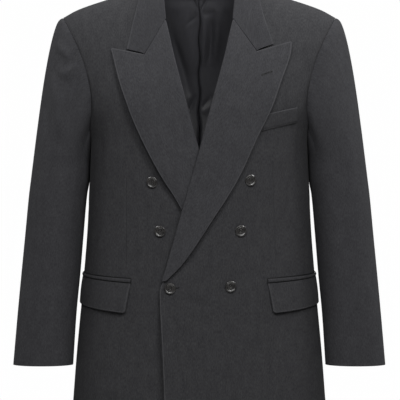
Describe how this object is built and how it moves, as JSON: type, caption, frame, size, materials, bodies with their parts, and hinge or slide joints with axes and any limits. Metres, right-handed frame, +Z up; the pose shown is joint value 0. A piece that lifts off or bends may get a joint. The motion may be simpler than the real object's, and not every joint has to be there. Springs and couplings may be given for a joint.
{
  "type": "double breasted blazer",
  "caption": "Tailored double breasted blazer with wide peak lapels rolling to the lowest buttons, flap pockets, a chest welt and long sleeves, standing hollow.",
  "frame": {"origin": "middle of the neck, level with the two points where the shoulder seams meet the collar, where the wearer's shoulders carry the garment", "axes": "+Z up, towards the collar; -Y is the front; +X is the wearer's left, which is on the right in a view of the front"},
  "size_m": [0.6814, 0.2825, 0.8342],
  "materials": {
    "wool": "charcoal worsted wool, matt with a faint mottle",
    "lining": "dark charcoal satin lining",
    "button": "dark horn-look resin, semi-gloss"
  },
  "bodies": {
    "root": {"front_left": "wool", "front_right": "wool", "side_left": "wool", "side_right": "wool", "back_left": "wool", "back_right": "wool", "lapel_left": "wool", "lapel_right": "wool", "collar_fall": "wool", "collar_stand": "wool", "top_sleeve_left": "wool", "top_sleeve_right": "wool", "top_sleeve_head_left": "wool", "top_sleeve_head_right": "wool", "under_sleeve_left": "wool", "under_sleeve_right": "wool", "under_sleeve_head_left": "wool", "under_sleeve_head_right": "wool", "pocket_flap_left": "wool", "pocket_flap_right": "wool", "pocket_jet_left": "wool", "pocket_jet_right": "wool", "chest_welt": "wool", "back_lining_left": "lining", "back_lining_right": "lining", "button_upper_right": "button", "button_middle_right": "button", "button_lower_right": "button", "button_upper_left": "button", "button_middle_left": "button", "button_lower_left": "button"}
  },
  "joints": []
}
